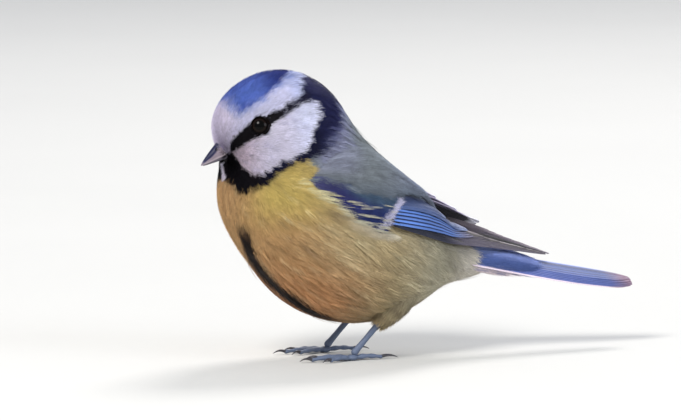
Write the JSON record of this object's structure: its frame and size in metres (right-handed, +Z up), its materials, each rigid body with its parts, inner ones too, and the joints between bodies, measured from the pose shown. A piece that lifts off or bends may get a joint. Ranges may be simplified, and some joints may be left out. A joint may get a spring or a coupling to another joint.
{
  "type": "blue tit",
  "caption": "Life-size still model of a blue tit standing on the ground, crouched on both feet, wings folded, tail out behind.",
  "frame": {"origin": "on the floor, below the middle of the bounding box", "axes": "+Z up; the bird faces -Y, its tail points to +Y, and its left side is +X"},
  "size_m": [0.0376, 0.1042, 0.0644],
  "materials": {
    "plumage_head": "soft matt feathers",
    "plumage_collar": "soft matt feathers",
    "plumage_body": "soft matt feathers",
    "plumage_wing": "smooth feather vanes, slight sheen",
    "plumage_tail": "smooth feather vanes, slight sheen",
    "bill_horn": "satin horn",
    "eye_gloss": "wet gloss",
    "leg_skin": "matt scaled skin"
  },
  "bodies": {
    "root": {"head": "plumage_head", "bill_upper": "bill_horn", "bill_lower": "bill_horn", "eye_left": "eye_gloss", "eye_right": "eye_gloss", "neck": "plumage_collar", "torso": "plumage_body", "wing_left": "plumage_wing", "wing_right": "plumage_wing", "tail": "plumage_tail", "thigh_left": "plumage_body", "thigh_right": "plumage_body", "leg_left": "leg_skin", "leg_right": "leg_skin", "foot_left": "leg_skin", "foot_right": "leg_skin"}
  },
  "joints": []
}
